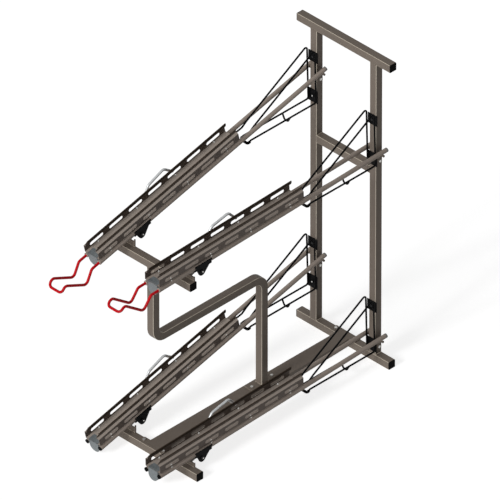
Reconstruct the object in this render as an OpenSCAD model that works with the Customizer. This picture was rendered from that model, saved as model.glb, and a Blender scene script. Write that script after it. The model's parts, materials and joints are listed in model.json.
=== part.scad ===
// Two tier bicycle rack, four sloping trays on a square tube frame.
// X runs across the rack, Y to the back, Z up. The origin lies on the floor,
// midway between the two uprights.

/* [Frame] */
// Outer side of the square frame tube
tube_s = 50; // [44:1:54]
// Wall of the square frame tube
tube_t = 3; // [2:0.5:4]
// Outer corner radius of the square frame tube
tube_r = 3; // [2:0.5:6]
// Rise from the upper tier to the top of the rack
head_rise = 809; // [760:1:1100]
// Distance between the centres of the two uprights
upright_gap = 470; // [440:1:560]
// Length of the top bar and of the two base bars
base_bar_l = 730; // [700:1:900]
// Length of the upper front bar
shelf_bar_l = 630; // [620:1:800]
// Distance between the centres of the rear and the front bars
rack_d = 1526; // [1480:1:1600]
// Rise from the lower tier to the upper tier
tier_rise = 1278; // [1200:1:1320]
// Thickness of the end cap of a bar
cap_t = 4; // [2:0.5:8]
// Length of the plug of an end cap inside its tube
cap_plug_l = 18; // [8:1:30]

/* [Base channel] */
// Width of the channel that joins the two base bars
channel_w = 100; // [90:1:120]
// Sheet thickness of the channel
channel_t = 4; // [3:0.5:6]
// Height of the side walls of the channel
channel_h = 42; // [20:1:45]
// Width of the plate at each end of the channel
end_plate_w = 190; // [170:1:220]

/* [Bent post] */
// Distance from the uprights to the rear leg of the bent post
post_d = 669; // [600:1:760]
// Height of the level run of the bent post
run_z = 789; // [650:1:950]
// Bend radius on the centre line of the bent post
bend_r = 70; // [50:1:120]
// Length of the foot plate of the bent post
foot_l = 200; // [180:1:240]
// Width of the foot plate
foot_w = 84; // [76:1:88]
// Thickness of the foot plate
foot_t = 8; // [5:0.5:12]
// Distance from the post to each bolt of the foot plate
foot_bolt_d = 79; // [66:1:84]

/* [Trays] */
// Length of a tray
tray_l = 1137; // [1120:1:1200]
// Outer width of a tray
tray_w = 116; // [114:1:122]
// Sheet thickness of a tray
tray_t = 3; // [2:0.5:3.5]
// Height of a tray side above its floor
side_h = 46; // [42:1:60]
// Width of the shoulder at the top of a tray side
shoulder_w = 18; // [12:1:20]
// Rise of the shoulder towards the middle
shoulder_rise = 6; // [1:0.5:8]
// Height of the upright lip on the shoulder
lip_h = 16; // [12:1:25]
// Corner radius at the front end of the lip
lip_r = 15; // [8:1:20]
// Gap between the rails and the tray floor
floor_gap = 10; // [8:0.5:14]
// Number of slots in a tray side
slot_n = 7; // [5:1:7]
// Length of a slot
slot_l = 107; // [60:1:125]
// Height of a slot
slot_h = 21.5; // [14:0.5:25]
// Height of the lower edge of a slot above the tray floor
slot_z = 7.5; // [5:0.5:12]
// Distance from the front end of the tray to its first slot
slot_first = 43.5; // [30:0.5:60]
// Distance from one slot to the next
slot_pitch = 157.3; // [145:0.1:158]
// Slope of the left trays in degrees
steep_angle = 13.8; // [12.5:0.1:14.5]
// Slope of the right trays in degrees
level_angle = 2.0; // [1:0.1:3]
// Height of the rail centre at the front end of the lower left tray
steep_z = 60; // [56:1:75]
// Height of the rail centre at the front end of the lower right tray
level_z = 105; // [98:1:118]
// Distance of the front ends of the trays from the front bar
front_reach = 239; // [200:1:260]

/* [Rails] */
// Outer diameter of a rail
rail_d = 27; // [24:0.5:28]
// Wall of a rail
rail_t = 2.5; // [1.5:0.5:3]
// Distance between the centres of the two rails of a tray
rail_gap = 102; // [100:1:106]
// Distance that the left rails reach past the uprights' centre
steep_tail = 22; // [15:1:60]
// Distance that the right rails reach past the uprights' centre
level_tail = 36; // [15:1:60]
// Distance from the front end of a rail to its first bolt
bolt_first = 99; // [70:1:120]
// Distance between the bolts along a rail
bolt_pitch = 313; // [290:1:325]
// Number of bolts along a rail
bolt_n = 4; // [3:1:4]
// Length of the light plug behind the rear end of a rail
tail_plug_l = 12; // [6:1:18]
// Thickness of the cap at the front end of a lower rail
rail_cap_t = 5; // [3:0.5:8]

/* [Aprons] */
// Distance from the rail centre line down to the start of the round end
apron_drop = 15; // [10:1:18]
// Distance of the apron from the front end of the tray
apron_in = 12; // [6:1:20]
// Length of the apron's flange under the tray floor
apron_flange = 48; // [30:1:60]

/* [Carriages] */
// Distance from the front end of the rails to the pivot
pivot_in = 320; // [300:1:350]
// Distance of the pivot below the rail centre line
pivot_drop = 33; // [31:1:36]
// Diameter of the pivot bolt
pivot_d = 12; // [10:1:14]
// Radius of the round end of a cheek
cheek_r = 27; // [22:1:27]
// Thickness of a cheek
cheek_t = 5.5; // [4:0.5:8]
// Length of a cheek along the rails
cheek_l = 131; // [120:1:150]
// Distance that a cheek reaches in front of the pivot
cheek_front = 50; // [46:1:52]
// Height of a cheek above the rail centre line
cheek_top = 18; // [15:1:18.5]
// Length of one guide along the rail
guide_l = 30; // [20:1:34]
// Height of a guide
guide_h = 35; // [32:1:36]
// Width of the lip by which a guide holds the rail down
guide_lip = 3; // [2:0.5:3.5]
// Tilt of an upper tray at the end of its travel in degrees
tilt_angle = 21; // [15:0.5:22]

/* [Pivot brackets] */
// Thickness of a bracket plate
bracket_t = 8; // [5:0.5:9]
// Width of a horn at each side of a bracket plate
horn_w = 6; // [4:0.5:8]
// Distance of the horns below the pivot
horn_drop = 8; // [7:0.5:12]
// Height of the tongue above the pivot
tongue_rise = 4; // [0:0.5:8]
// Thickness of an ear that carries the pivot
ear_t = 6; // [4:0.5:8]
// Radius of the round end of an ear
ear_r = 15; // [11:0.5:18]

/* [Wheel holders] */
// Height of the upper plate of a lower left wheel holder
steep_holder_z = 579; // [540:1:620]
// Height of the upper plate of a lower right wheel holder
level_holder_z = 381; // [370:1:440]
// Distance between the centres of the two plates of a holder
plate_gap = 266; // [255:1:280]
// Height of the upper plate
top_plate_h = 69; // [50:1:90]
// Height of the lower plate
low_plate_h = 86; // [60:1:90]
// Thickness of a plate
plate_t = 4; // [3:0.5:6]
// Diameter of the holder wire
wire_d = 11; // [8:0.5:12]
// Bend radius of the holder wire
wire_r = 14; // [12:0.5:20]
// Height of the top bend above the upper plate's centre
apex_rise = 68; // [50:1:80]
// Distance of the rods' front ends from the uprights' centre
rod_reach = 632; // [600:1:640]
// Drop of the rods' front ends below the upper plate's centre
rod_drop = 252; // [240:1:262]
// Distance of the lower loop's front from the uprights' centre
loop_reach = 571; // [520:1:590]
// Drop of the lower loop below the upper plate's centre
loop_drop = 298; // [290:1:305]
// Distance of the cross rung from the uprights' centre
rung_d = 240; // [160:1:330]
// Drop of the cross rung below the lower loop
rung_drop = 34; // [20:1:40]
// Lean of the rung's two legs towards the middle
rung_lean = 18; // [0:1:20]

/* [Handles and hoops] */
// Diameter of the handle wire
handle_d = 14; // [10:0.5:15]
// Bend radius of the handle wire
handle_r = 24; // [18:1:26]
// Bar diameter of a lock hoop
hoop_d = 16; // [12:1:20]
// Bend radius of a lock hoop
hoop_r = 30; // [20:1:34]

/* [Rail rests] */
// Diameter of the pin that a rail's tail rests on
rest_pin_d = 14; // [10:1:18]
// Thickness of a rest plate
rest_t = 4; // [3:0.5:5]
// Width of a rest plate
rest_w = 40; // [36:1:44]
// Distance of the through bolt below the rail
rest_bolt_drop = 67; // [60:1:72]

/* [Hidden] */
$fn = 48;

left = -1;
right = 1;
lower = 0;
upper = 1;

// Clearances and small fixed sizes
over = 2;          // overrun of a cut
fit = 0.3;         // radial clearance of a bolt in its hole
seat_gap = 0.2;    // clearance of a piece beside or on its seat
cap_inset = 0.5;   // a cap is this much smaller than its tube all round
bolt_d = 8;        // shank of the small bolts
head_d = 16;       // head of the small bolts
head_h = 5;        // head height of the small bolts
tray_head_d = 12;  // head of a rail bolt on the tray floor
big_bolt_d = 10;   // shank of the base and through bolts
big_head_d = 18;   // head of the base and through bolts
big_head_h = 7;    // head height of the base and through bolts
pivot_head_d = 22; // head of a pivot bolt
pivot_head_h = 7;  // head height of a pivot bolt
sleeve_d = 14;     // spacer sleeve between rail and tray floor
cap_plug_t = 3;    // wall of an end cap's plug
plug_l = 22;       // plug of a cap or handle inside its rail
notch_clear = 4;   // clearance of a tilted rail over its bracket notch
cheek_gap = 0.5;   // clearance between a rail and a cheek
guide_side = 5;    // wall of a guide on the inner side of its rail
tongue_side = 0.5; // clearance between a guide and the tongue of a bracket
notch_side = 1;    // clearance of a rail beside the notch of a bracket
holder_side = 1;   // clearance between a wheel holder and the rails
head_side = 0.5;   // clearance between a rail bolt's head and the tray side
cross_l = 20;      // length of the carriage cross bar along the rails
cross_h = 20;      // height of the carriage cross bar
rest_edge = 16;    // edge of a rest plate round its bolt
rest_top = 14;     // top edge of a rest plate below the rail centre
bolt_grip = 6;     // length of a bolt past the wall it is screwed into
end_bolt_edge = 18; // edge of an end plate outside its bolt

// Shares of the sizes that the small outlines follow
rod_knee_shares = [[0.888, 0.944], [0.831, 0.841]];
loop_step_share = 0.028;
handle_shares = [[62, 0], [123, -75], [269, 40], [303, 8]] / 303;
handle_l = 303;    // reach of a handle in front of the rails
hoop_shares = [[0, 0], [0.17, 0.65], [0.74, 0.95], [1, 0]];
hoop_start = 500;  // distance of a hoop's front leg from the tray's front end
hoop_l = 224;      // length of a hoop along the tray
hoop_low = 48;     // height of a hoop's ends above the rail centre line
hoop_h = 70;       // height that a hoop's legs span

// Derived places
front_y = rack_d + front_reach;
bar_top = tube_s;
rack_h = tier_rise + head_rise;
upright_h = rack_h - 2 * tube_s;
tray_floor = rail_d / 2 + floor_gap;
rail_x = rail_gap / 2;
rail_in = rail_x - rail_d / 2;
cheek_x = rail_x + rail_d / 2 + cheek_gap;
holder_x = rail_in - holder_side;
bolt_x = tray_w / 2 - tray_t - tray_head_d / 2 - head_side;

function tray_a(side) = side < 0 ? steep_angle : level_angle;
function tray_z(side, tier) = (side < 0 ? steep_z : level_z) + tier * tier_rise;
function tail(side) = side < 0 ? steep_tail : level_tail;
function rail_l(side) = (front_y + tail(side)) / cos(tray_a(side)) - tail_plug_l;
function rail_z(side, tier) = tray_z(side, tier) + front_y * tan(tray_a(side));
function holder_z(side, tier) = (side < 0 ? steep_holder_z : level_holder_z) + tier * tier_rise;
function pivot_y(side) = -front_y + pivot_in * cos(tray_a(side)) + pivot_drop * sin(tray_a(side));
function pivot_z(side, tier) = tray_z(side, tier) + pivot_in * sin(tray_a(side)) - pivot_drop * cos(tray_a(side));
function pivot_rise(side) = pivot_z(side, lower) - bar_top;
function plate_back(side) = pivot_y(side) + rack_d - tube_s / 2;
function bolt_y(i) = bolt_first + i * bolt_pitch;

// A wire with rounded bends, swept along its own points
function unit(v) = v / norm(v);
function bend(a, b, c, r, n) =
    let (u = unit(b - a), v = unit(c - b), q = acos(u * v))
    let (w = unit(v - (u * v) * u), p = b - u * r * tan(q / 2))
    [for (i = [0 : n]) p + u * r * sin(q * i / n) + w * r * (1 - cos(q * i / n))];
function rounded(pts, r, n) =
    [pts[0], for (i = [1 : len(pts) - 2]) each bend(pts[i - 1], pts[i], pts[i + 1], r, n), pts[len(pts) - 1]];
function carry(ts, i, m) =
    i >= len(ts) ? [] : let (k = unit(m - (m * ts[i]) * ts[i])) concat([k], carry(ts, i + 1, k));

module wire(pts, d, r, steps, sides, start) {
    p = rounded(pts, r, steps);
    k = len(p);
    t = [for (i = [0 : k - 1])
        unit(unit(p[min(i + 1, k - 1)] - p[min(i, k - 2)]) + unit(p[max(i, 1)] - p[max(i - 1, 0)]))];
    m = carry(t, 0, start);
    q = 360 / sides;
    ring = [for (i = [0 : k - 1]) for (j = [0 : sides - 1])
        p[i] + d / 2 * (m[i] * cos(j * q) + cross(t[i], m[i]) * sin(j * q))];
    walls = [for (i = [0 : k - 2]) for (j = [0 : sides - 1])
        let (a = i * sides + j, b = i * sides + (j + 1) % sides)
        each [[a, a + sides, b + sides], [a, b + sides, b]]];
    ends = [[for (j = [0 : sides - 1]) j], [for (j = [0 : sides - 1]) (k - 1) * sides + sides - 1 - j]];
    polyhedron(points = ring, faces = concat(walls, ends), convexity = 6);
}

// Square tube with round corners
module round_square(s, r) {
    square([s - 2 * r, s], center = true);
    square([s, s - 2 * r], center = true);
    for (x = [-1, 1], y = [-1, 1]) translate([x * (s / 2 - r), y * (s / 2 - r)]) circle(r = r);
}

module tube_section() {
    difference() {
        round_square(tube_s, tube_r);
        round_square(tube_s - 2 * tube_t, tube_r / 2);
    }
}

module tube(l) {
    linear_extrude(height = l, convexity = 4) tube_section();
}

// A tube along X, centred on X = 0, with its underside at height z
module cross_tube(l, y, z) {
    translate([-l / 2, y, z + tube_s / 2]) rotate([0, 90, 0]) tube(l);
}

module rod(d, l) {
    cylinder(d = d, h = l);
}

module x_rod(d, l) {
    rotate([0, 90, 0]) cylinder(d = d, h = l);
}

// A rod along Y, from Y = 0 to Y = l
module y_rod(d, l) {
    rotate([-90, 0, 0]) cylinder(d = d, h = l);
}

module paint_frame() { color([0.45, 0.41, 0.36]) children(); }
module paint_tray() { color([0.56, 0.52, 0.48]) children(); }
module black() { color([0.07, 0.07, 0.07]) children(); }
module bright() { color([0.72, 0.72, 0.70]) children(); }

// Puts its children into the frame of a tray: X across the tray, Y along it
// from the front end, Z square to its rails from their centre line
module at_tray(side, tier) {
    translate([side * upright_gap / 2, -front_y, tray_z(side, tier)]) rotate([tray_a(side), 0, 0]) children();
}

// Puts its children at the pivot of a tray, upright
module at_pivot(side, tier) {
    translate([side * upright_gap / 2, pivot_y(side), pivot_z(side, tier)]) children();
}

module rear_base_bar() {
    paint_frame() difference() {
        cross_tube(base_bar_l, 0, 0);
        base_holes(0);
    }
}

module front_base_bar() {
    paint_frame() difference() {
        cross_tube(base_bar_l, -rack_d, 0);
        base_holes(-rack_d);
    }
}

// Holes of the two bolts that hold an end plate of the channel
module base_holes(y) {
    for (x = [-1, 1]) translate([x * (end_plate_w / 2 - end_bolt_edge), y, bar_top - tube_t - over])
        rod(big_bolt_d + 2 * fit, tube_t + channel_t + 2 * over);
}

module upright(side) {
    paint_frame() difference() {
        translate([side * upright_gap / 2, 0, bar_top]) tube(upright_h);
        for (tier = [lower, upper]) {
            translate([side * upright_gap / 2 - tube_s, 0, rail_z(side, tier) - rest_bolt_drop])
                x_rod(big_bolt_d + 2 * fit, 2 * tube_s);
            for (z = [0, -plate_gap]) translate([side * upright_gap / 2, -tube_s / 2 - over, holder_z(side, tier) + z])
                y_rod(bolt_d + 2 * fit, tube_t + 2 * over);
        }
    }
}

module left_upright() { upright(left); }
module right_upright() { upright(right); }

module top_bar() {
    paint_frame() cross_tube(base_bar_l, 0, rack_h - tube_s);
}

module mid_bar() {
    paint_frame() cross_tube(upright_gap - tube_s, 0, tier_rise);
}

module upper_front_bar() {
    paint_frame() cross_tube(shelf_bar_l, -rack_d, tier_rise);
}

// Channel open at the bottom, its top lapping over both base bars
module base_channel() {
    gap = rack_d - tube_s;
    paint_frame() difference() {
        union() {
            translate([-channel_w / 2, -rack_d - tube_s / 2, bar_top]) cube([channel_w, rack_d + tube_s, channel_t]);
            for (y = [0, -rack_d]) translate([-end_plate_w / 2, y - tube_s / 2, bar_top])
                cube([end_plate_w, tube_s, channel_t]);
            for (x = [-channel_w / 2, channel_w / 2 - channel_t])
                translate([x, -rack_d + tube_s / 2 + seat_gap, bar_top - channel_h])
                    cube([channel_t, gap - 2 * seat_gap, channel_h]);
        }
        base_holes(0);
        base_holes(-rack_d);
        for (s = [-1, 1]) translate([0, -post_d + s * foot_bolt_d, bar_top - over])
            rod(big_bolt_d + 2 * fit, channel_t + 2 * over);
    }
}

// Square tube bent twice, standing on a foot plate on the base channel and
// carrying the upper front bar
module bent_post() {
    foot_z = bar_top + channel_t;
    leg_z = foot_z + foot_t;
    run_l = rack_d - post_d - 2 * bend_r;
    paint_frame() {
        difference() {
            translate([-foot_w / 2, -post_d - foot_l / 2, foot_z]) cube([foot_w, foot_l, foot_t]);
            for (s = [-1, 1]) translate([0, -post_d + s * foot_bolt_d, foot_z - over])
                rod(big_bolt_d + 2 * fit, foot_t + 2 * over);
        }
        translate([0, -post_d, leg_z]) tube(run_z - bend_r - leg_z);
        translate([0, -post_d - bend_r, run_z]) rotate([90, 0, 0]) tube(run_l);
        translate([0, -rack_d, run_z + bend_r]) tube(tier_rise - run_z - bend_r);
        translate([0, -post_d - bend_r, run_z - bend_r]) rotate([90, 0, 90]) post_bend();
        translate([0, -rack_d + bend_r, run_z + bend_r]) rotate([90, 0, 90]) rotate([0, 0, 180]) post_bend();
    }
}

module post_bend() {
    rotate_extrude(angle = 90, $fn = 96) translate([bend_r, 0]) tube_section();
}

module end_cap() {
    s = tube_s - 2 * cap_inset;
    inner = tube_s - 2 * tube_t - 2 * seat_gap;
    linear_extrude(height = cap_t) round_square(s, tube_r);
    translate([0, 0, -cap_plug_l]) linear_extrude(height = cap_plug_l) difference() {
        round_square(inner, tube_r / 2);
        round_square(inner - 2 * cap_plug_t, tube_r / 4);
    }
}

module bar_end_caps() {
    black() for (b = [[base_bar_l, 0, 0], [base_bar_l, 0, rack_h - tube_s],
                      [base_bar_l, -rack_d, 0], [shelf_bar_l, -rack_d, tier_rise]])
        for (s = [-1, 1]) translate([s * b[0] / 2, b[1], b[2] + tube_s / 2]) rotate([0, s * 90, 0]) end_cap();
}

module hex_bolt(d, l, head, h) {
    cylinder(d = head, h = h, $fn = 6);
    translate([0, 0, -l]) rod(d, l);
}

module base_bolts() {
    bright() {
        for (y = [0, -rack_d], x = [-1, 1])
            translate([x * (end_plate_w / 2 - end_bolt_edge), y, bar_top + channel_t])
                hex_bolt(big_bolt_d, channel_t + tube_t + bolt_grip, big_head_d, big_head_h);
        for (s = [-1, 1]) translate([0, -post_d + s * foot_bolt_d, bar_top + channel_t + foot_t])
            hex_bolt(big_bolt_d, foot_t + channel_t + bolt_grip, big_head_d, big_head_h);
    }
}

// Two plates at the sides of an upright, each with the pin that a rail rests on
module rail_rests() {
    paint_frame() for (side = [left, right], tier = [lower, upper])
        translate([side * upright_gap / 2, 0, rail_z(side, tier)])
            for (s = [0, 1]) mirror([s, 0, 0]) rail_rest(side);
}

module rail_rest(side) {
    pin_z = -(rail_d + rest_pin_d) / 2 / cos(tray_a(side)) - seat_gap;
    pin_l = rail_x + rail_d / 2 - tube_s / 2 - rest_t;
    low = rest_bolt_drop + rest_edge;
    difference() {
        union() {
            translate([tube_s / 2, -rest_w / 2, -low]) cube([rest_t, rest_w, low - rest_top]);
            translate([tube_s / 2 + rest_t, 0, pin_z]) x_rod(rest_pin_d, pin_l);
        }
        translate([tube_s / 2 - over, 0, -rest_bolt_drop]) x_rod(big_bolt_d + 2 * fit, rest_t + 2 * over);
    }
}

module rest_bolts() {
    half = tube_s / 2 + rest_t;
    bright() for (side = [left, right], tier = [lower, upper])
        translate([side * upright_gap / 2, 0, rail_z(side, tier) - rest_bolt_drop]) {
            translate([-half, 0, 0]) x_rod(big_bolt_d, 2 * half);
            translate([half, 0, 0]) rotate([0, 90, 0]) cylinder(d = big_head_d, h = big_head_h, $fn = 6);
            translate([-half - big_head_h, 0, 0]) rotate([0, 90, 0]) cylinder(d = big_head_d, h = big_head_h, $fn = 6);
        }
}

module holder_plates() {
    black() for (side = [left, right], tier = [lower, upper])
        translate([side * upright_gap / 2, -tube_s / 2, holder_z(side, tier)]) {
            holder_plate(top_plate_h, 0);
            holder_plate(low_plate_h, -plate_gap);
        }
}

module holder_plate(h, z) {
    translate([0, 0, z]) difference() {
        translate([-holder_x, -plate_t, -h / 2]) cube([2 * holder_x, plate_t, h]);
        translate([0, -plate_t - over, 0]) y_rod(bolt_d + 2 * fit, plate_t + 2 * over);
    }
}

module holder_bolts() {
    bright() for (side = [left, right], tier = [lower, upper], z = [0, -plate_gap])
        translate([side * upright_gap / 2, -tube_s / 2 - plate_t, holder_z(side, tier) + z])
            rotate([90, 0, 0]) hex_bolt(bolt_d, plate_t + tube_t + bolt_grip, head_d, head_h);
}

// One bent wire: rods from the top bend down to the tray, the wires on the
// plates, the lower loop round the front, and a rung welded under that loop
module wheel_holder(side, tier) {
    x = holder_x - wire_d / 2;
    back = tube_s / 2 + plate_t + wire_d / 2;
    top = back + wire_d;
    knees = [for (s = rod_knee_shares) [s[0] * rod_reach, -s[1] * rod_drop]];
    step = loop_step_share * loop_reach;
    half = [[rod_reach, -rod_drop], knees[0], knees[1], [top, apex_rise], [back, -loop_drop],
            [loop_reach - step, -loop_drop], [loop_reach, -loop_drop - step]];
    pts = concat([for (p = half) [-x, -p[0], p[1]]],
                 [for (i = [len(half) - 1 : -1 : 0]) [x, -half[i][0], half[i][1]]]);
    low = -loop_drop - rung_drop;
    foot = x - rung_lean;
    rung = [[-x, -rung_d, -loop_drop], [-foot, -rung_d, low], [foot, -rung_d, low], [x, -rung_d, -loop_drop]];
    black() translate([side * upright_gap / 2, 0, holder_z(side, tier)]) {
        wire(pts, wire_d, wire_r, 4, 10, [1, 0, 0]);
        wire(rung, wire_d, wire_r, 4, 10, [0, 1, 0]);
    }
}

// Folded bracket on a front bar: a plate with notches for the rails and two
// ears that carry the pivot behind it
module bracket(side, tier) {
    a = tray_a(side) + tilt_angle;
    back = plate_back(side);
    notch = (pivot_drop - rail_d / 2) / cos(a) - (back + bracket_t) * tan(a) - notch_clear;
    low = -pivot_rise(side);
    g = rail_x + rail_d / 2 + notch_side;
    w = g + horn_w;
    t = rail_in - guide_side - tongue_side;
    paint_frame() at_pivot(side, tier) {
        translate([0, -back, 0]) rotate([90, 0, 0]) linear_extrude(height = bracket_t, convexity = 4)
            polygon([[-w, low], [w, low], [w, -horn_drop], [g, -horn_drop], [g, notch], [t, notch],
                     [t, tongue_rise], [-t, tongue_rise], [-t, notch], [-g, notch], [-g, -horn_drop],
                     [-w, -horn_drop]]);
        for (s = [0, 1]) mirror([s, 0, 0]) translate([t - horn_w / 2 - ear_t, 0, 0]) ear(back, low);
    }
}

module ear(back, low) {
    foot = max(low, -pivot_drop);
    difference() {
        rotate([90, 0, 90]) linear_extrude(height = ear_t, convexity = 4) hull() {
            circle(r = ear_r, $fn = 32);
            polygon([[-back, foot], [-back, tongue_rise], [-back + ear_t, tongue_rise], [-back + ear_t, foot]]);
        }
        translate([-over, 0, 0]) x_rod(pivot_d + 2 * fit, ear_t + 2 * over);
    }
}

module pivot_bolts() {
    reach = cheek_x + cheek_t + seat_gap;
    bright() for (side = [left, right], tier = [lower, upper]) at_pivot(side, tier) {
        translate([-reach, 0, 0]) x_rod(pivot_d, 2 * reach);
        translate([reach, 0, 0]) x_rod(pivot_head_d, pivot_head_h);
        translate([-reach - pivot_head_h, 0, 0]) x_rod(pivot_head_d, pivot_head_h);
    }
}

// Two cheeks outside the rails, joined by a cross bar between them
module carriage(side, tier) {
    cross_y = pivot_in - cheek_front + cheek_l - guide_l / 2 - cross_l / 2;
    inner = rail_in - guide_side;
    black() at_tray(side, tier) {
        for (s = [0, 1]) mirror([s, 0, 0]) difference() {
            translate([cheek_x, 0, 0]) cheek();
            translate([cheek_x - over, pivot_in, -pivot_drop]) x_rod(pivot_d + 2 * fit, cheek_t + 2 * over);
        }
        translate([-inner, cross_y, -cross_h / 2]) cube([2 * inner, cross_l, cross_h]);
    }
}

module cheek() {
    rotate([90, 0, 90]) linear_extrude(height = cheek_t) hull() {
        translate([pivot_in, -pivot_drop]) circle(r = cheek_r, $fn = 32);
        translate([pivot_in - cheek_front, cheek_top - cheek_t]) square([cheek_l, cheek_t]);
    }
}

// Four guides that cradle the rails and hold them down by a lip
module guides(side, tier) {
    first = pivot_in - cheek_front + seat_gap;
    last = first + cheek_l - guide_l - 2 * seat_gap;
    black() at_tray(side, tier) for (y = [first, last], s = [0, 1])
        mirror([s, 0, 0]) translate([0, y, 0]) guide();
}

module guide() {
    r = rail_d / 2;
    inner = rail_in - guide_side;
    wall = cheek_x - inner;
    slot_x = rail_in + guide_lip;
    difference() {
        translate([inner, 0, -guide_h / 2]) cube([wall, guide_l, guide_h]);
        translate([rail_x, -over, 0]) y_rod(rail_d + 2 * fit, guide_l + 2 * over);
        translate([slot_x, -over, 0]) cube([wall, guide_l + 2 * over, guide_h]);
        translate([rail_x + r / 2, -over, -r / 2]) cube([wall, guide_l + 2 * over, guide_h]);
    }
}

module rails(side, tier) {
    l = rail_l(side);
    paint_tray() at_tray(side, tier) for (s = [-1, 1]) translate([s * rail_x, 0, 0]) difference() {
        y_rod(rail_d, l);
        translate([0, -over, 0]) y_rod(rail_d - 2 * rail_t, l + 2 * over);
        for (i = [0 : bolt_n - 1]) translate([s * (bolt_x - rail_x), bolt_y(i), 0]) rod(bolt_d + 2 * fit, rail_d);
    }
}

// Bolt through the tray floor and a spacer sleeve into the top of a rail
module rail_bolts(side, tier) {
    top = tray_floor + tray_t;
    bright() at_tray(side, tier) for (s = [-1, 1], i = [0 : bolt_n - 1])
        translate([s * bolt_x, bolt_y(i), 0]) {
            translate([0, 0, top]) cylinder(d1 = tray_head_d, d2 = tray_head_d - head_h, h = head_h);
            translate([0, 0, rail_d / 2 - rail_t - bolt_grip / 2]) rod(bolt_d, top - rail_d / 2 + rail_t + bolt_grip / 2);
            difference() {
                rod(sleeve_d, tray_floor);
                translate([s * (rail_x - bolt_x), -sleeve_d, 0]) y_rod(rail_d, 2 * sleeve_d);
            }
        }
}

// Folded tray: slotted sides, a shoulder and an upright lip along each side
module tray(side, tier) {
    w = tray_w / 2;
    f = tray_floor;
    h = f + tray_t + side_h;
    k = w - shoulder_w;
    e = h + shoulder_rise;
    top = e + lip_h;
    q = [[w, f], [w, h], [k + tray_t, e], [k + tray_t, top], [k, top], [k, e - tray_t],
         [w - tray_t, h - tray_t], [w - tray_t, f + tray_t]];
    paint_tray() at_tray(side, tier) difference() {
        translate([0, tray_l, 0]) rotate([90, 0, 0]) linear_extrude(height = tray_l, convexity = 6)
            polygon(concat(q, [for (i = [len(q) - 1 : -1 : 0]) [-q[i][0], q[i][1]]]));
        for (i = [0 : slot_n - 1]) translate([0, slot_first + i * slot_pitch, f + tray_t + slot_z]) slot(w);
        for (s = [-1, 1], i = [0 : bolt_n - 1]) translate([s * bolt_x, bolt_y(i), f - over])
            rod(bolt_d + 2 * fit, tray_t + 2 * over);
        translate([-w - over, 0, top]) rotate([0, 90, 0]) linear_extrude(height = tray_w + 2 * over) difference() {
            translate([-over, -over]) square([lip_r + over, lip_r + over]);
            translate([lip_r, lip_r]) circle(r = lip_r);
        }
    }
}

// Cut of a slot with round ends, through both sides of a tray
module slot(w) {
    r = slot_h / 2;
    l = 2 * (w + over);
    translate([-w - over, r, 0]) cube([l, slot_l - slot_h, slot_h]);
    for (y = [r, slot_l - r]) translate([-w - over, y, r]) x_rod(slot_h, l);
}

// Apron with a round lower end, hanging from a flange under the tray floor
module apron(side, tier) {
    r = rail_in - seat_gap;
    color([0.47, 0.49, 0.50]) at_tray(side, tier) {
        translate([0, apron_in + tray_t, 0]) rotate([90, 0, 0]) linear_extrude(height = tray_t) {
            translate([-r, -apron_drop]) square([2 * r, tray_floor + apron_drop]);
            intersection() {
                translate([0, -apron_drop]) circle(r = r);
                translate([-r, -apron_drop - r]) square([2 * r, r]);
            }
        }
        translate([-r, apron_in, tray_floor - tray_t]) cube([2 * r, apron_flange, tray_t]);
    }
}

module lock_hoop(side, tier) {
    x = -(tray_w + hoop_d) / 2;
    pts = [for (s = hoop_shares) [x, hoop_start + s[0] * hoop_l, hoop_low + s[1] * hoop_h]];
    color([0.70, 0.70, 0.70]) at_tray(side, tier) wire(pts, hoop_d, hoop_r, 5, 14, [1, 0, 0]);
}

// Plug in the front end of a rail, with a collar against the end face
module rail_plug(collar) {
    y_rod(rail_d - 2 * rail_t - 2 * seat_gap, plug_l);
    translate([0, -collar, 0]) y_rod(rail_d, collar);
}

module rail_caps(side, tier) {
    black() at_tray(side, tier) for (s = [-1, 1]) translate([s * rail_x, 0, 0]) rail_plug(rail_cap_t);
}

// Light plugs at the rear ends of both rails
module tail_plugs(side, tier) {
    color([0.62, 0.60, 0.57]) at_tray(side, tier) for (s = [-1, 1])
        translate([s * rail_x, rail_l(side), 0]) rotate([0, 0, 180]) rail_plug(tail_plug_l);
}

// Wire handle, plugged into both rails of an upper tray
module handle(side, tier) {
    half = [for (s = handle_shares) [-s[0] * handle_l, s[1] * handle_l]];
    pts = concat([[-rail_x, 0, 0]], [for (p = half) [-rail_x, p[0], p[1]]],
                 [for (i = [len(half) - 1 : -1 : 0]) [rail_x, half[i][0], half[i][1]]], [[rail_x, 0, 0]]);
    color([0.75, 0.08, 0.10]) at_tray(side, tier) {
        wire(pts, handle_d, handle_r, 4, 14, [1, 0, 0]);
        for (s = [-1, 1]) translate([s * rail_x, 0, 0]) rail_plug(rail_t);
    }
}

module upper_left_bracket() { bracket(left, upper); }
module upper_left_carriage() { carriage(left, upper); }
module upper_left_guides() { guides(left, upper); }
module upper_left_rails() { rails(left, upper); }
module upper_left_rail_bolts() { rail_bolts(left, upper); }
module upper_left_tray() { tray(left, upper); }
module upper_left_apron() { apron(left, upper); }
module upper_left_lock_hoop() { lock_hoop(left, upper); }
module upper_left_handle() { handle(left, upper); }
module upper_left_wheel_holder() { wheel_holder(left, upper); }

module upper_right_bracket() { bracket(right, upper); }
module upper_right_carriage() { carriage(right, upper); }
module upper_right_guides() { guides(right, upper); }
module upper_right_rails() { rails(right, upper); }
module upper_right_rail_bolts() { rail_bolts(right, upper); }
module upper_right_tray() { tray(right, upper); }
module upper_right_apron() { apron(right, upper); }
module upper_right_lock_hoop() { lock_hoop(right, upper); }
module upper_right_handle() { handle(right, upper); }
module upper_right_wheel_holder() { wheel_holder(right, upper); }

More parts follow.
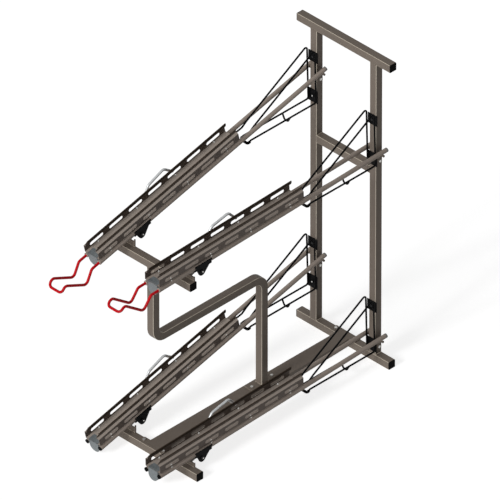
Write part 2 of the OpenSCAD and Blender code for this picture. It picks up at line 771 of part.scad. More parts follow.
module lower_left_bracket() { bracket(left, lower); }
module lower_left_carriage() { carriage(left, lower); }
module lower_left_guides() { guides(left, lower); }
module lower_left_rails() { rails(left, lower); }
module lower_left_rail_bolts() { rail_bolts(left, lower); }
module lower_left_tray() { tray(left, lower); }
module lower_left_apron() { apron(left, lower); }
module lower_left_lock_hoop() { lock_hoop(left, lower); }
module lower_left_rail_caps() { rail_caps(left, lower); }
module lower_left_wheel_holder() { wheel_holder(left, lower); }

module lower_right_bracket() { bracket(right, lower); }
module lower_right_carriage() { carriage(right, lower); }
module lower_right_guides() { guides(right, lower); }
module lower_right_rails() { rails(right, lower); }
module lower_right_rail_bolts() { rail_bolts(right, lower); }
module lower_right_tray() { tray(right, lower); }
module lower_right_apron() { apron(right, lower); }
module lower_right_lock_hoop() { lock_hoop(right, lower); }
module lower_right_rail_caps() { rail_caps(right, lower); }
module lower_right_wheel_holder() { wheel_holder(right, lower); }

module upper_left_tail_plugs() { tail_plugs(left, upper); }
module upper_right_tail_plugs() { tail_plugs(right, upper); }
module lower_tail_plugs() {
    tail_plugs(left, lower);
    tail_plugs(right, lower);
}

rear_base_bar();
front_base_bar();
left_upright();
right_upright();
top_bar();
mid_bar();
upper_front_bar();
base_channel();
bent_post();
bar_end_caps();
base_bolts();
rail_rests();
rest_bolts();
holder_plates();
holder_bolts();
pivot_bolts();
upper_left_bracket();
upper_left_carriage();
upper_left_guides();
upper_left_rails();
upper_left_rail_bolts();
upper_left_tray();
upper_left_apron();
upper_left_lock_hoop();
upper_left_handle();
upper_left_wheel_holder();
upper_right_bracket();
upper_right_carriage();
upper_right_guides();
upper_right_rails();
upper_right_rail_bolts();
upper_right_tray();
upper_right_apron();
upper_right_lock_hoop();
upper_right_handle();
upper_right_wheel_holder();
lower_left_bracket();
lower_left_carriage();
lower_left_guides();
lower_left_rails();
lower_left_rail_bolts();
lower_left_tray();
lower_left_apron();
lower_left_lock_hoop();
lower_left_rail_caps();
lower_left_wheel_holder();
lower_right_bracket();
lower_right_carriage();
lower_right_guides();
lower_right_rails();
lower_right_rail_bolts();
lower_right_tray();
lower_right_apron();
lower_right_lock_hoop();
lower_right_rail_caps();
lower_right_wheel_holder();
upper_left_tail_plugs();
upper_right_tail_plugs();
lower_tail_plugs();
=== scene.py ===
import json
import math

import bmesh
import bpy
from mathutils import Matrix, Vector


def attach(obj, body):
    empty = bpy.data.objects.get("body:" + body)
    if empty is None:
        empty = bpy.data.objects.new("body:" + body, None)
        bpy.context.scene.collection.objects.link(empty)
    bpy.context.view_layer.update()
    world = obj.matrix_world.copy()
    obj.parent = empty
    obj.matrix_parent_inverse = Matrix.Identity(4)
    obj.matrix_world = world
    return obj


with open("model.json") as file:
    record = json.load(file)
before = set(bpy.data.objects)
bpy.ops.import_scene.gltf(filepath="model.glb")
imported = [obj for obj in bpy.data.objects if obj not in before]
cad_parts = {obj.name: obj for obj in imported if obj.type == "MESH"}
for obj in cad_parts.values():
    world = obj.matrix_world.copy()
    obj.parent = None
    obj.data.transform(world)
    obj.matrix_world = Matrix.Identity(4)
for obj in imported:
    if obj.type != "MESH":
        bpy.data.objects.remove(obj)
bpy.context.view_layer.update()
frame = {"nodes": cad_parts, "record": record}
nodes = frame["nodes"]
scene = bpy.context.scene
scene.view_settings.view_transform = "Standard"

# Shader helpers


def add(tree, kind, inputs, **settings):
    """A new node with its settings; each input is a plain value or another node's output."""
    node = tree.nodes.new(kind)
    for key, value in settings.items():
        setattr(node, key, value)
    for key, value in inputs.items():
        if isinstance(value, bpy.types.NodeSocket):
            tree.links.new(value, node.inputs[key])
        else:
            node.inputs[key].default_value = value
    return node


def maths(tree, operation, *terms, clamp=False):
    """The result of a maths node; each term is a number or another node's output."""
    node = add(tree, "ShaderNodeMath", dict(enumerate(terms)), operation=operation, use_clamp=clamp)
    return node.outputs["Value"]


def remap(tree, value, start, end, to_start=0.0, to_end=1.0):
    """A value that goes from to_start to to_end while another goes from start to end."""
    sockets = {"Value": value, "From Min": start, "From Max": end, "To Min": to_start, "To Max": to_end}
    return add(tree, "ShaderNodeMapRange", sockets).outputs["Result"]


def swinging(tree, value, start, end, amount):
    """A tone that swings round 1 by an amount while a value goes from start to end."""
    darkest = maths(tree, "SUBTRACT", 1.0, amount)
    lightest = maths(tree, "ADD", 1.0, amount)
    return remap(tree, value, start, end, darkest, lightest)


def toned(tree, color, tone):
    """A colour made lighter or darker by a tone."""
    node = add(tree, "ShaderNodeVectorMath", {0: color, "Scale": tone}, operation="SCALE")
    return node.outputs["Vector"]


def covered(tree, cover, under, over):
    """One colour over another, where the cover goes from 0 to 1."""
    node = add(tree, "ShaderNodeMix", {"Factor": cover, "A": under, "B": over}, data_type="RGBA")
    return node.outputs["Result"]


def coordinate(tree, vector, axis):
    """The X, Y or Z of a vector."""
    return add(tree, "ShaderNodeSeparateXYZ", {"Vector": vector}).outputs[axis]


def reach_along(tree, vector, direction):
    """How far a vector reaches along a direction."""
    node = add(tree, "ShaderNodeVectorMath", {0: vector, 1: direction}, operation="DOT_PRODUCT")
    return node.outputs["Value"]


def noise(tree, vector, scale, detail=2.0):
    """Soft noise from 0 to 1."""
    node = add(tree, "ShaderNodeTexNoise", {"Vector": vector, "Scale": scale, "Detail": detail})
    return node.outputs["Fac"]


def surface_group(name, sockets):
    """An empty group that puts out the colour, roughness and normal of a surface."""
    tree = bpy.data.node_groups.new(name, "ShaderNodeTree")
    kinds = {"color": "NodeSocketColor", "value": "NodeSocketFloat", "vector": "NodeSocketVector"}
    for label, kind, value in sockets:
        socket = tree.interface.new_socket(name=label, in_out="INPUT", socket_type=kinds[kind])
        socket.default_value = value
    for label, kind in (("Color", "color"), ("Roughness", "value"), ("Normal", "vector")):
        tree.interface.new_socket(name=label, in_out="OUTPUT", socket_type=kinds[kind])
    given = tree.nodes.new("NodeGroupInput").outputs
    result = tree.nodes.new("NodeGroupOutput").inputs
    return tree, given, result


# Finishes shared by several materials


def make_powder_coat():
    """Powder coating: orange peel, soft mottling, a dusting near the floor, painted top light on faces
    that look up, and painted highlights on rounded tube corners.
    """
    tree, given, result = surface_group("powder_coat", [
        ("Color", "color", (0.2, 0.2, 0.2, 1)),
        ("Dust and Top Light", "color", (0.3, 0.28, 0.25, 1)),
        ("Mottle", "value", 0.1),
        ("Roughness", "value", 0.45),
        ("Peel", "value", 0.1),
        ("Painted Top Light", "value", 0.0),
        ("Painted Highlight", "value", 0.0),
        ("Painted Highlight Color", "color", (0.4, 0.36, 0.3, 1)),
        ("Edge Axis", "vector", (0, 1, 0))])
    peel_depth = 0.0004
    dusty_height = 0.09
    most_floor_dust = 0.35
    too_steep, level = 0.55, 0.88
    place = tree.nodes.new("ShaderNodeTexCoord").outputs
    patches = noise(tree, place["Object"], scale=6.0, detail=4.0)
    peel = noise(tree, place["Object"], scale=900.0)

    mottling = swinging(tree, patches, 0.3, 0.7, given["Mottle"])
    paint = toned(tree, given["Color"], mottling)

    # patches near the floor get a dusting, and faces that look up get an even painted top light in the
    # same lighter colour, as strong as the material asks
    height = coordinate(tree, place["Object"], "Z")
    near_floor = remap(tree, height, 0.0, dusty_height, most_floor_dust, 0.0)
    floor_dust = maths(tree, "MULTIPLY", near_floor, patches)
    looks_up = remap(tree, coordinate(tree, place["Normal"], "Z"), too_steep, level)
    dust_and_top_light = maths(tree, "MULTIPLY_ADD", looks_up, given["Painted Top Light"], floor_dust)
    dusted_and_top_lit = covered(tree, dust_and_top_light, paint, given["Dust and Top Light"])

    # a painted highlight lights a rounded corner most where its normal is 45 degrees from the edge axis
    square = maths(tree, "POWER", reach_along(tree, place["Normal"], given["Edge Axis"]), 2.0)
    corner = maths(tree, "MULTIPLY", square, maths(tree, "SUBTRACT", 1.0, square))
    painted_corner_highlight = maths(tree, "MULTIPLY", corner, given["Painted Highlight"], clamp=True)

    bump = add(tree, "ShaderNodeBump", {"Strength": given["Peel"], "Distance": peel_depth, "Height": peel})
    tree.links.new(covered(tree, painted_corner_highlight, dusted_and_top_lit, given["Painted Highlight Color"]), result["Color"])
    tree.links.new(maths(tree, "MULTIPLY", given["Roughness"], mottling), result["Roughness"])
    tree.links.new(bump.outputs["Normal"], result["Normal"])
    return tree


def make_metal_grain():
    """Galvanised or drawn metal: spangle that changes tone and gloss, and a fine grain."""
    tree, given, result = surface_group("metal_grain", [
        ("Color", "color", (0.5, 0.5, 0.5, 1)),
        ("Scale", "value", 60.0),
        ("Amount", "value", 0.15),
        ("Roughness", "value", 0.35)])
    grain_depth = 0.0003
    place = tree.nodes.new("ShaderNodeTexCoord").outputs
    flakes = add(tree, "ShaderNodeTexVoronoi", {"Vector": place["Object"], "Scale": given["Scale"]})
    grain = noise(tree, place["Object"], scale=500.0)

    tone = coordinate(tree, flakes.outputs["Color"], "X")
    spangle = swinging(tree, tone, 0.0, 1.0, given["Amount"])
    bump = add(tree, "ShaderNodeBump", {"Strength": 0.15, "Distance": grain_depth, "Height": grain})
    tree.links.new(toned(tree, given["Color"], spangle), result["Color"])
    tree.links.new(maths(tree, "MULTIPLY", given["Roughness"], spangle), result["Roughness"])
    tree.links.new(bump.outputs["Normal"], result["Normal"])
    return tree


powder_coat = make_powder_coat()
metal_grain = make_metal_grain()

# Materials


def finish(name, group, values, metallic=0.0, specular=0.5):
    """A material that takes its colour, roughness and normal from a group."""
    material = bpy.data.materials.new(name)
    material.use_nodes = True
    tree = material.node_tree
    shader = tree.nodes["Principled BSDF"]
    surface = add(tree, "ShaderNodeGroup", values, node_tree=group)
    tree.links.new(surface.outputs["Color"], shader.inputs["Base Color"])
    tree.links.new(surface.outputs["Roughness"], shader.inputs["Roughness"])
    tree.links.new(surface.outputs["Normal"], shader.inputs["Normal"])
    shader.inputs["Metallic"].default_value = metallic
    shader.inputs["Specular IOR Level"].default_value = specular
    material.diffuse_color = values["Color"]
    return material


def rgb(r, g, b):
    """A colour given as it looks on screen, 0 to 255."""
    def linear(part):
        part = part / 255
        return part / 12.92 if part <= 0.04045 else ((part + 0.055) / 1.055) ** 2.4
    return (linear(r), linear(g), linear(b), 1)


brown = {"Color": rgb(117, 107, 98), "Dust and Top Light": rgb(132, 124, 114), "Mottle": 0.05,
         "Roughness": 0.50, "Peel": 0.12}
plate_paint = finish("plate_paint", powder_coat, brown, specular=0.12)
# frame and post carry painted highlights on their rounded tube corners, in the lighter corner colour
frame_paint = finish("frame_paint", powder_coat,
                     brown | {"Painted Highlight": 4.0, "Painted Highlight Color": rgb(208, 197, 179)}, specular=0.12)
post_paint = finish("post_paint", powder_coat,
                    brown | {"Painted Highlight": 4.0, "Painted Highlight Color": rgb(240, 229, 210), "Edge Axis": (1, 0, 0)},
                    specular=0.12)
# the tray's lighter tops are painted top light: faces that look up take the lighter colour almost fully
tray_paint = finish("tray_paint", powder_coat,
                    {"Color": rgb(105, 95, 88), "Dust and Top Light": rgb(168, 157, 147), "Mottle": 0.06,
                     "Roughness": 0.48, "Peel": 0.12, "Painted Top Light": 0.95}, specular=0.12)
rail_paint = finish("rail_paint", powder_coat,
                    {"Color": rgb(160, 148, 138), "Dust and Top Light": rgb(165, 155, 145), "Mottle": 0.06,
                     "Roughness": 0.48, "Peel": 0.12}, specular=0.12)
# the lip trim's dark colour is painted shade along the lips' inner faces and the corner above the shoulder
lip_shade_trim = finish("lip_shade_trim", powder_coat,
                  {"Color": rgb(72, 62, 53), "Dust and Top Light": rgb(70, 62, 55), "Mottle": 0.08,
                   "Roughness": 0.60, "Peel": 0.20}, specular=0.04)
black_paint = finish("black_paint", powder_coat,
                     {"Color": rgb(8, 8, 9), "Dust and Top Light": rgb(34, 32, 30), "Mottle": 0.15,
                      "Roughness": 0.42, "Peel": 0.15}, specular=0.03)
black_plastic = finish("black_plastic", powder_coat,
                       {"Color": rgb(6, 6, 6), "Dust and Top Light": rgb(34, 32, 30), "Mottle": 0.10,
                        "Roughness": 0.60, "Peel": 0.30}, specular=0.02)
light_plastic = finish("light_plastic", powder_coat,
                       {"Color": rgb(138, 136, 132), "Dust and Top Light": rgb(150, 146, 140), "Mottle": 0.06,
                        "Roughness": 0.55, "Peel": 0.20}, specular=0.2)
red_coating = finish("red_coating", powder_coat,
                     {"Color": rgb(200, 18, 28), "Dust and Top Light": rgb(200, 60, 60), "Mottle": 0.05,
                      "Roughness": 0.38, "Peel": 0.10}, specular=0.08)
apron_steel = finish("apron_steel", metal_grain,
                     {"Color": rgb(118, 124, 126), "Scale": 90.0, "Amount": 0.10, "Roughness": 0.45},
                     metallic=0.2, specular=0.3)
bright_steel = finish("bright_steel", metal_grain,
                      {"Color": rgb(205, 204, 200), "Scale": 400.0, "Amount": 0.06, "Roughness": 0.30},
                      metallic=0.6)
hoop_steel = finish("hoop_steel", metal_grain,
                    {"Color": rgb(205, 207, 208), "Scale": 120.0, "Amount": 0.06, "Roughness": 0.35},
                    metallic=0.3)
pivot_steel = finish("pivot_steel", metal_grain,
                     {"Color": rgb(34, 34, 35), "Scale": 300.0, "Amount": 0.08, "Roughness": 0.45},
                     specular=0.1)

# Materials and smooth shading of the CAD nodes

material_of_slot = {"frame_paint": frame_paint, "tray_paint": tray_paint, "apron_steel": apron_steel,
                    "black_paint": black_paint, "black_plastic": black_plastic,
                    "bright_steel": bright_steel, "light_plastic": light_plastic,
                    "hoop_steel": hoop_steel, "red_plastic": red_coating}
slot_of = {row["node"]: row["material_slot"] for row in frame["record"]["subparts"]}


def material_of(name):
    """A node's own material where it differs from its slot's, or else the slot's."""
    if name in ("pivot_bolts", "holder_bolts"):
        return pivot_steel
    if name in ("bent_post", "left_upright", "right_upright"):
        return post_paint
    if name in ("rail_rests", "base_channel") or name.endswith("_bracket"):
        return plate_paint
    if name.endswith("_rails"):
        return rail_paint
    return material_of_slot[slot_of[name]]


for name, part in nodes.items():
    # the weld joins the mesh's loose triangles, and the crease keeps its edges sharp
    part.data.materials.clear()
    part.data.materials.append(material_of(name))
    for face in part.data.polygons:
        face.material_index = 0
        face.use_smooth = True
    weld = part.modifiers.new("weld", "WELD")
    weld.merge_threshold = 0.00001
    crease = part.modifiers.new("crease", "EDGE_SPLIT")
    crease.split_angle = math.radians(32)

# Sizes in millimetres, as in the part's source

MM = 0.001
TUBE = 50.0
TUBE_ROUND = 3.0
RACK_D = 1526.0
FRONT_REACH = 239.0
TIER_RISE = 1278.0
HEAD_RISE = 809.0
UPRIGHT_GAP = 470.0
CHANNEL_T = 4.0
END_PLATE_W = 190.0
END_BOLT_EDGE = 18.0
POST_D = 669.0
FOOT_T = 8.0
FOOT_BOLT_D = 79.0
TRAY_L = 1137.0
TRAY_W = 116.0
TRAY_T = 3.0
SIDE_H = 46.0
SHOULDER_W = 18.0
SHOULDER_RISE = 6.0
LIP_H = 16.0
LIP_R = 15.0
FLOOR_GAP = 10.0
RAIL_D = 27.0
RAIL_GAP = 102.0
APRON_DROP = 15.0
PIVOT_IN = 320.0
PIVOT_DROP = 33.0
CHEEK_T = 5.5
CHEEK_GAP = 0.5
SEAT_GAP = 0.2
BRACKET_T = 8.0
PLATE_GAP = 266.0
PLATE_T = 4.0
WIRE_D = 11.0
WIRE_R = 14.0
LOOP_REACH = 571.0
LOOP_DROP = 298.0
HOLDER_SIDE = 1.0
HANDLE_D = 14.0
REST_T = 4.0
REST_BOLT_DROP = 67.0
HEAD_D = 16.0
HEAD_H = 5.0
BIG_HEAD_D = 18.0
PIVOT_HEAD_H = 7.0

LEFT, RIGHT = -1, 1
LOWER, UPPER = 0, 1
SIDES = {LEFT: "left", RIGHT: "right"}
TIERS = {LOWER: "lower", UPPER: "upper"}
TRAYS = [(side, tier) for side in SIDES for tier in TIERS]
SLOPE = {LEFT: math.radians(13.8), RIGHT: math.radians(2.0)}
TRAY_Z = {LEFT: 60.0, RIGHT: 105.0}
HOLDER_Z = {LEFT: 579.0, RIGHT: 381.0}

# Places worked out from them

FRONT_Y = RACK_D + FRONT_REACH
RACK_H = TIER_RISE + HEAD_RISE
HALF_GAP = UPRIGHT_GAP / 2
HALF_TUBE = TUBE / 2
CHANNEL_TOP = TUBE + CHANNEL_T
FOOT_TOP = CHANNEL_TOP + FOOT_T
RAIL_X = RAIL_GAP / 2
RAIL_IN = RAIL_X - RAIL_D / 2
FLOOR_TOP = RAIL_D / 2 + FLOOR_GAP + TRAY_T
LIP_TOP = FLOOR_TOP + SIDE_H + SHOULDER_RISE + LIP_H
LIP_IN = TRAY_W / 2 - SHOULDER_W
PIVOT_END = RAIL_X + RAIL_D / 2 + CHEEK_GAP + CHEEK_T + SEAT_GAP + PIVOT_HEAD_H
QUARTER_TURN = math.radians(90)
FRONT_VIEW = Matrix.Rotation(QUARTER_TURN, 4, "X")


def tray_name(side, tier):
    """The words that the names of a tray's pieces begin with."""
    return TIERS[tier] + "_" + SIDES[side]


def tray_body(side, tier):
    """The body of a tray: an upper one moves, a lower one belongs to the frame."""
    return tray_name(side, tier) + "_tray" if tier == UPPER else "frame"


def tray_place(side, tier):
    """Matrix from a tray's own frame, with Y along its rails, to the rack's."""
    corner = Matrix.Translation((side * HALF_GAP, -FRONT_Y, TRAY_Z[side] + tier * TIER_RISE))
    return corner @ Matrix.Rotation(SLOPE[side], 4, "X")


def holder_z(side, tier):
    """Height of the upper plate's bolt of a wheel holder."""
    return HOLDER_Z[side] + tier * TIER_RISE


def facing_front(x, y, z):
    """Matrix of a fitting that looks forward from a point."""
    return Matrix.Translation((x, y, z)) @ FRONT_VIEW


def facing_side(side, x, y, z):
    """Matrix of a fitting that looks to the left or right from a point."""
    return Matrix.Translation((x, y, z)) @ Matrix.Rotation(side * QUARTER_TURN, 4, "Y")


# Helpers for the pieces' meshes


def piece(name, bm, body, material, crease_angle=40):
    """A finished piece from a bmesh in millimetres, riding on a CAD body."""
    bmesh.ops.remove_doubles(bm, verts=bm.verts, dist=0.001)
    bmesh.ops.recalc_face_normals(bm, faces=bm.faces)
    bmesh.ops.scale(bm, vec=(MM, MM, MM), verts=bm.verts)
    for face in bm.faces:
        face.smooth = True
    mesh = bpy.data.meshes.new(name)
    bm.to_mesh(mesh)
    bm.free()
    mesh.materials.append(material)
    made = bpy.data.objects.new(name, mesh)
    scene.collection.objects.link(made)
    crease = made.modifiers.new("crease", "EDGE_SPLIT")
    crease.split_angle = math.radians(crease_angle)
    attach(made, body)
    return made


def verts_in(geometry):
    """The vertices among the geometry that an operator gives back."""
    return [item for item in geometry if isinstance(item, bmesh.types.BMVert)]


def edges_in(geometry):
    """The edges among the geometry that an operator gives back."""
    return [item for item in geometry if isinstance(item, bmesh.types.BMEdge)]


def lathe(bm, profile, place, steps=24):
    """Spins a profile of (radius, height) points round Z, then puts it in place."""
    verts = [bm.verts.new((radius, 0.0, height)) for radius, height in profile]
    edges = [bm.edges.new(pair) for pair in zip(verts, verts[1:])]
    has_hole = profile[0][0] > 0.0
    if has_hole:
        edges.append(bm.edges.new((verts[-1], verts[0])))
    older = set(bm.verts) - set(verts)
    bmesh.ops.spin(bm, geom=verts + edges, cent=(0, 0, 0), axis=(0, 0, 1), dvec=(0, 0, 0),
                   angle=math.radians(360), steps=steps, use_merge=True)
    bmesh.ops.transform(bm, matrix=place, verts=[v for v in bm.verts if v not in older])


def washer(bm, place, head_d, outer_d, height):
    """A washer with a rounded upper edge; its hole hides under the bolt's head."""
    hole = (head_d - 1) / 2
    rim = outer_d / 2
    edge = height * 0.4
    profile = [(hole, 0), (rim, 0), (rim, height - edge), (rim - edge, height), (hole, height)]
    lathe(bm, profile, place)


def dome(bm, place, diameter=9.0, height=3.0):
    """A low domed head."""
    r = diameter / 2
    profile = [(0, height), (r * 0.45, height * 0.93), (r * 0.8, height * 0.65),
               (r, height * 0.25), (r, 0), (0, 0)]
    lathe(bm, profile, place, steps=16)


def beads(bm, start, end, size=6.0, pitch=3.6, flatness=0.62):
    """A run of flattened weld beads from one point to another."""
    start, end = Vector(start), Vector(end)
    turn = (end - start).to_track_quat("Z", "Y").to_matrix().to_4x4()
    flatten = Matrix.Diagonal((1, 1, flatness, 1))
    count = int((end - start).length / pitch)
    row = bmesh.new()
    for i in range(count + 1):
        place = Matrix.Translation(start.lerp(end, i / count)) @ turn @ flatten
        bmesh.ops.create_uvsphere(row, u_segments=8, v_segments=5, radius=size / 2, matrix=place)
    run = bpy.data.meshes.new("run")
    row.to_mesh(run)
    row.free()
    bm.from_mesh(run)
    bpy.data.meshes.remove(run)


# Small fittings of the frame


def frame_welds():
    """Weld beads at the ends of the uprights, mid bar, bent post and brackets."""
    bracket_weld = 140.0
    flat = HALF_TUBE - TUBE_ROUND
    bm = bmesh.new()
    for side in SIDES:
        for s in (-1, 1):
            x = side * HALF_GAP + s * HALF_TUBE
            for z in (TUBE, RACK_H - TUBE):
                beads(bm, (x, -flat, z), (x, flat, z))
        x = side * (HALF_GAP - HALF_TUBE)
        for z in (TIER_RISE, TIER_RISE + TUBE):
            beads(bm, (x, -flat, z), (x, flat, z))
    for s in (-1, 1):
        x = s * HALF_TUBE
        beads(bm, (x, -RACK_D - flat, TIER_RISE), (x, -RACK_D + flat, TIER_RISE))
        beads(bm, (x, -POST_D - HALF_TUBE, FOOT_TOP), (x, -POST_D + HALF_TUBE, FOOT_TOP))
        y = -POST_D + s * HALF_TUBE
        beads(bm, (-HALF_TUBE, y, FOOT_TOP), (HALF_TUBE, y, FOOT_TOP))
    for side, tier in TRAYS:
        x = side * HALF_GAP
        y = -RACK_D + HALF_TUBE - BRACKET_T
        z = TUBE + tier * TIER_RISE
        beads(bm, (x - bracket_weld / 2, y, z), (x + bracket_weld / 2, y, z))
    piece("frame_welds", bm, "frame", frame_paint)


def base_washers():
    """Washers of the channel's end plates and of the bent post's foot plate."""
    bm = bmesh.new()
    bolt_x = END_PLATE_W / 2 - END_BOLT_EDGE
    bolts = [(x, y, CHANNEL_TOP) for y in (0, -RACK_D) for x in (-bolt_x, bolt_x)]
    bolts += [(0, -POST_D + s * FOOT_BOLT_D, FOOT_TOP) for s in (-1, 1)]
    for spot in bolts:
        washer(bm, Matrix.Translation(spot), BIG_HEAD_D, outer_d=28.0, height=2.2)
    piece("base_washers", bm, "frame", plate_paint)


def rest_washers():
    """Washers on both sides of the through bolts under the rails' tails."""
    bm = bmesh.new()
    for side, tier in TRAYS:
        rail_z = TRAY_Z[side] + tier * TIER_RISE + FRONT_Y * math.tan(SLOPE[side])
        for s in (-1, 1):
            x = side * HALF_GAP + s * (HALF_TUBE + REST_T)
            place = facing_side(s, x, 0, rail_z - REST_BOLT_DROP)
            washer(bm, place, BIG_HEAD_D, outer_d=26.0, height=2.0)
    piece("rest_washers", bm, "frame", plate_paint)


def holder_washers():
    """Washers of the two bolts of each wheel holder."""
    bm = bmesh.new()
    for side, tier in TRAYS:
        for drop in (0, PLATE_GAP):
            place = facing_front(side * HALF_GAP, -HALF_TUBE - PLATE_T, holder_z(side, tier) - drop)
            washer(bm, place, HEAD_D, outer_d=22.0, height=1.6)
    piece("holder_washers", bm, "frame", black_paint)


def upright_screws():
    """Two small screws on the left upright."""
    height = 370.0
    off_centre = 19.0
    bm = bmesh.new()
    for tier in TIERS:
        dome(bm, facing_front(-HALF_GAP - off_centre, -HALF_TUBE, height + tier * TIER_RISE))
    piece("upright_screws", bm, "frame", bright_steel)


def pivot_bolt_ends():
    """Bright ends on the heads of the pivot bolts."""
    bm = bmesh.new()
    for side, tier in TRAYS:
        centre = tray_place(side, tier) @ Vector((0, PIVOT_IN, -PIVOT_DROP))
        for s in (-1, 1):
            dome(bm, facing_side(s, side * HALF_GAP + s * PIVOT_END, centre.y, centre.z))
    piece("pivot_bolt_ends", bm, "frame", bright_steel)


def holder_bolt_ends():
    """Bright end on the lower bolt of each wheel holder."""
    bm = bmesh.new()
    for side, tier in TRAYS:
        y = -HALF_TUBE - PLATE_T - HEAD_H
        dome(bm, facing_front(side * HALF_GAP, y, holder_z(side, tier) - PLATE_GAP))
    piece("holder_bolt_ends", bm, "frame", bright_steel)


# Small fittings of the trays


def lip_shade_trims(side, tier):
    """Dark edge trim on both lips of a tray, its long leg on the inner side; its dark colour is painted
    shade along the lips' inner faces.
    """
    thick = 1.2
    short_leg = 3.5
    long_leg = 12.5
    overrun = 2.0
    inner = LIP_IN
    outer = LIP_IN + TRAY_T
    top = LIP_TOP
    outline = [(outer + thick, top - short_leg), (outer + thick, top + thick),
               (inner - thick, top + thick), (inner - thick, top - long_leg),
               (inner, top - long_leg), (inner, top), (outer, top), (outer, top - short_leg)]
    start = LIP_R + overrun
    length = TRAY_L + overrun - start
    bm = bmesh.new()
    for s in (-1, 1):
        face = bm.faces.new([bm.verts.new((s * x, start, z)) for x, z in outline])
        grown = bmesh.ops.extrude_face_region(bm, geom=[face])["geom"]
        bmesh.ops.translate(bm, vec=(0, length, 0), verts=verts_in(grown))
    bmesh.ops.transform(bm, matrix=tray_place(side, tier), verts=bm.verts)
    piece(tray_name(side, tier) + "_lip_shade_trims", bm, tray_body(side, tier), lip_shade_trim)


def nose_plate(side, tier):
    """Plate folded over the front end of a tray, with a round lower end."""
    thick = 1.5
    deep = 46.0
    side_gap = 0.5
    top = FLOOR_TOP + thick
    low = -APRON_DROP
    tiny = 0.01
    bm = bmesh.new()
    ring = bmesh.ops.create_circle(bm, cap_ends=False, segments=48, radius=RAIL_IN - side_gap,
                                   matrix=facing_front(0, 0, low))["verts"]
    bmesh.ops.delete(bm, geom=[v for v in ring if v.co.z > low + tiny], context="VERTS")
    rim = [e for e in bm.edges if e.is_boundary or e.is_wire]
    ends = sorted((v for v in bm.verts if abs(v.co.z - low) < tiny), key=lambda v: v.co.x)
    tops = [bm.verts.new((v.co.x, 0.0, top)) for v in ends]
    rim.append(bm.edges.new((ends[0], tops[0])))
    rim.append(bm.edges.new((tops[0], tops[1])))
    rim.append(bm.edges.new((tops[1], ends[1])))
    bmesh.ops.contextual_create(bm, geom=rim)
    backs = [bm.verts.new((v.co.x, deep, top)) for v in tops]
    bm.faces.new((tops[0], tops[1], backs[1], backs[0]))
    bmesh.ops.recalc_face_normals(bm, faces=bm.faces)
    bm.normal_update()
    front = next(f for f in bm.faces if abs(f.normal.y) > 0.9)
    if front.normal.y > 0:
        bmesh.ops.reverse_faces(bm, faces=bm.faces)
    bmesh.ops.solidify(bm, geom=list(bm.faces), thickness=thick)
    bmesh.ops.transform(bm, matrix=tray_place(side, tier), verts=bm.verts)
    piece(tray_name(side, tier) + "_nose_plate", bm, tray_body(side, tier), apron_steel)


def loop_sleeve(side, tier):
    """Rubber sleeve round the front of a wheel holder's lower loop."""
    x = RAIL_IN - HOLDER_SIDE - WIRE_D / 2
    radius = WIRE_D / 2 + 3
    end_l = 3.0
    # it is drawn flat, from a point a little past the loop's last bend to the front
    loop_step = 16.0
    offset = 2.0
    reach = 19.8
    bend_y = reach - WIRE_R
    bm = bmesh.new()
    bmesh.ops.create_circle(bm, cap_ends=False, segments=18, radius=radius,
                            matrix=facing_front(-x, bend_y - end_l, 0))

    def pull(edges, move):
        grown = bmesh.ops.extrude_edge_only(bm, edges=edges)["geom"]
        bmesh.ops.translate(bm, vec=move, verts=verts_in(grown))
        return edges_in(grown)

    def turn(edges, centre):
        verts = list(dict.fromkeys(v for e in edges for v in e.verts))
        grown = bmesh.ops.spin(bm, geom=verts + edges, cent=centre, axis=(0, 0, -1), dvec=(0, 0, 0),
                               angle=QUARTER_TURN, steps=6)["geom_last"]
        return edges_in(grown)

    rim = pull(list(bm.edges), (0, end_l, 0))
    rim = turn(rim, (-x + WIRE_R, bend_y, 0))
    rim = pull(rim, (2 * (x - WIRE_R), 0, 0))
    rim = turn(rim, (x - WIRE_R, bend_y, 0))
    pull(rim, (0, -end_l, 0))
    ends = bmesh.ops.holes_fill(bm, edges=bm.edges, sides=0)["faces"]
    end_edges = list(dict.fromkeys(e for f in ends for e in f.edges))
    bmesh.ops.bevel(bm, geom=end_edges, offset=1.5, offset_type="OFFSET", segments=2, profile=0.5,
                    affect="EDGES", material=-1)
    # the loop's front part goes forward and down at 45 degrees
    slant = math.cos(math.radians(45))
    down = Matrix(((1, 0, 0, 0), (0, -slant, -slant, 0), (0, -slant, slant, 0), (0, 0, 0, 1)))
    y = -(LOOP_REACH - loop_step) - offset
    z = holder_z(side, tier) - LOOP_DROP - offset
    place = Matrix.Translation((side * HALF_GAP, y, z)) @ down
    bmesh.ops.transform(bm, matrix=place, verts=bm.verts)
    piece(tray_name(side, tier) + "_loop_sleeve", bm, "frame", black_plastic)


def rail_collars(side, tier):
    """Collars round the front ends of a tray's rails, with a hole for the handle."""
    hole = HANDLE_D / 2 + 0.2
    inner = RAIL_D / 2
    outer = inner + 1
    front, seat, back = 4.5, 2.5, -5.0
    chamfer_in, chamfer_back = 1.7, 1.5
    outline = [(hole, front), (outer - chamfer_in, front), (outer, front - chamfer_back), (outer, back),
               (inner, back), (inner, seat), (hole, seat)]
    bm = bmesh.new()
    for x in (-RAIL_X, RAIL_X):
        lathe(bm, outline, tray_place(side, tier) @ facing_front(x, 0, 0))
    piece(tray_name(side, tier) + "_rail_collars", bm, tray_body(side, tier), rail_paint)


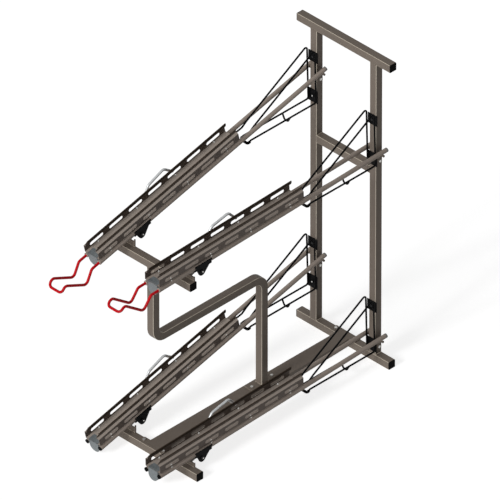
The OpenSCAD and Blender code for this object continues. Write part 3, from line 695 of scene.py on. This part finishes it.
def handle_coating(side, tier):
    """Dipped plastic coat over the wire of a handle, from the collars outwards."""
    thick = 1.3
    start = 4.8
    name = tray_name(side, tier)
    bm = bmesh.new()
    bm.from_mesh(nodes[name + "_handle"].data)
    bmesh.ops.scale(bm, vec=(1 / MM, 1 / MM, 1 / MM), verts=bm.verts)
    bmesh.ops.remove_doubles(bm, verts=bm.verts, dist=0.001)
    place = tray_place(side, tier)
    bmesh.ops.bisect_plane(bm, geom=bm.verts[:] + bm.edges[:] + bm.faces[:], dist=0.0001,
                           plane_co=place @ Vector((0, -start, 0)),
                           plane_no=place.to_3x3() @ Vector((0, 1, 0)), clear_outer=True)
    bmesh.ops.holes_fill(bm, edges=bm.edges, sides=0)
    made = piece(name + "_handle_coating", bm, tray_body(side, tier), red_coating, 50)
    coat = made.modifiers.new("coat", "DISPLACE")
    coat.strength = thick * MM
    coat.mid_level = 0.0
    # the coat swells before the crease splits the edges
    made.modifiers.move(1, 0)


frame_welds()
base_washers()
rest_washers()
holder_washers()
upright_screws()
pivot_bolt_ends()
holder_bolt_ends()
for side, tier in TRAYS:
    lip_shade_trims(side, tier)
    nose_plate(side, tier)
    loop_sleeve(side, tier)
    if tier == UPPER:
        rail_collars(side, tier)
        handle_coating(side, tier)

# Floor, world and lamps: white all round, with the rack's shadow on the floor

LOOK_AT = Vector((0.0, -0.7626, 1.0137))


def rays(tree, *kinds):
    """A mask that is 1 for the kinds of ray that are named."""
    light_path = tree.nodes.new("ShaderNodeLightPath").outputs
    mask = light_path[kinds[0]]
    for kind in kinds[1:]:
        mask = maths(tree, "MAXIMUM", mask, light_path[kind])
    return mask


def pale_floor():
    """A wide pale floor that looks white to the camera and in reflections."""
    half_width = 30.0
    glow = 0.62
    bm = bmesh.new()
    bmesh.ops.create_grid(bm, x_segments=1, y_segments=1, size=half_width)
    mesh = bpy.data.meshes.new("floor")
    bm.to_mesh(mesh)
    bm.free()
    floor = bpy.data.objects.new("floor", mesh)
    scene.collection.objects.link(floor)
    material = bpy.data.materials.new("floor_finish")
    material.use_nodes = True
    tree = material.node_tree
    shader = tree.nodes["Principled BSDF"]
    shader.inputs["Base Color"].default_value = (0.8, 0.8, 0.8, 1)
    shader.inputs["Roughness"].default_value = 1.0
    shader.inputs["Specular IOR Level"].default_value = 0.0
    shader.inputs["Emission Color"].default_value = (1, 1, 1, 1)
    seen = rays(tree, "Is Camera Ray", "Is Glossy Ray")
    tree.links.new(maths(tree, "MULTIPLY", seen, glow), shader.inputs["Emission Strength"])
    mesh.materials.append(material)


def studio_world():
    """White where it is seen, and a weak plain light on the rack."""
    white = (1, 1, 1, 1)
    world = bpy.data.worlds.new("studio")
    world.use_nodes = True
    scene.world = world
    tree = world.node_tree
    plain = tree.nodes["Background"]
    plain.inputs["Color"].default_value = white
    plain.inputs["Strength"].default_value = 0.14
    bright = add(tree, "ShaderNodeBackground", {"Color": white, "Strength": 1.0})
    seen = rays(tree, "Is Camera Ray", "Is Glossy Ray", "Is Transmission Ray")
    backgrounds = {0: seen, 1: plain.outputs["Background"], 2: bright.outputs["Background"]}
    either = add(tree, "ShaderNodeMixShader", backgrounds)
    tree.links.new(either.outputs["Shader"], tree.nodes["World Output"].inputs["Surface"])


def lamp(name, direction, casts_shadow):
    """A broad distant lamp that shines from a direction."""
    spread = 16
    strength = 1.25
    distance = 6.0
    light = bpy.data.lights.new(name, "SUN")
    light.use_shadow = casts_shadow
    light.angle = math.radians(spread)
    light.energy = strength
    made = bpy.data.objects.new(name, light)
    scene.collection.objects.link(made)
    away = Vector(direction).normalized()
    made.location = LOOK_AT + away * distance
    made.rotation_euler = away.to_track_quat("Z", "Y").to_euler()


pale_floor()
studio_world()
front_and_above = (0.0, -0.87, 0.49)
lamp("key", front_and_above, True)
lamp("fill", front_and_above, False)

# Camera: a very long lens, close to the photograph's parallel view

picture_width = 2.8005
camera = bpy.data.cameras.new("camera")
camera.sensor_width = 36.0
camera.lens = 1700.0
camera.clip_start = 50.0
camera.clip_end = 300.0
view = bpy.data.objects.new("camera", camera)
scene.collection.objects.link(view)
away = Vector((1.0, -1.0, 1.0)).normalized()
view.location = LOOK_AT + away * (picture_width * camera.lens / camera.sensor_width)
view.rotation_euler = away.to_track_quat("Z", "Y").to_euler()
scene.camera = view
